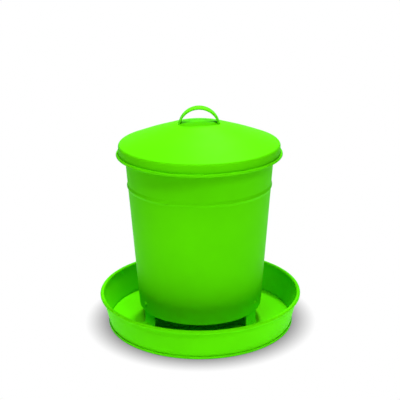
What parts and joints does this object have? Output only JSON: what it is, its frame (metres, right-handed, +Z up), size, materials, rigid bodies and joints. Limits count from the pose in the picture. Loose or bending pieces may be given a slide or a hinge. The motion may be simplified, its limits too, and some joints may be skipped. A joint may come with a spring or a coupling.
{
  "type": "poultry feeder",
  "caption": "Gravity feeder for poultry in green painted sheet metal: a tapered hopper on bent feet in a round tray with a rolled rim, and a loose conical lid with a strap handle.",
  "frame": {"origin": "on the ground, at the middle of the tray, under the peak of the lid", "axes": "+Z up along the axis of the hopper; -Y is the front, between the two front feet; the handle's arch runs along X"},
  "size_m": [0.4, 0.3998, 0.4349],
  "materials": {
    "green_paint": "bright yellow-green gloss paint, smooth, on steel sheet"
  },
  "bodies": {
    "root": {"tray_wall": "green_paint", "tray_floor": "green_paint", "hopper_body": "green_paint", "lid": "green_paint", "lid_handle": "green_paint", "foot_front_left": "green_paint", "foot_front_right": "green_paint", "foot_back": "green_paint", "hopper_rivet_front_left": "green_paint", "hopper_rivet_front_right": "green_paint", "hopper_rivet_back": "green_paint", "tray_rivet_front_left": "green_paint", "tray_rivet_front_right": "green_paint", "tray_rivet_back": "green_paint"}
  },
  "joints": []
}
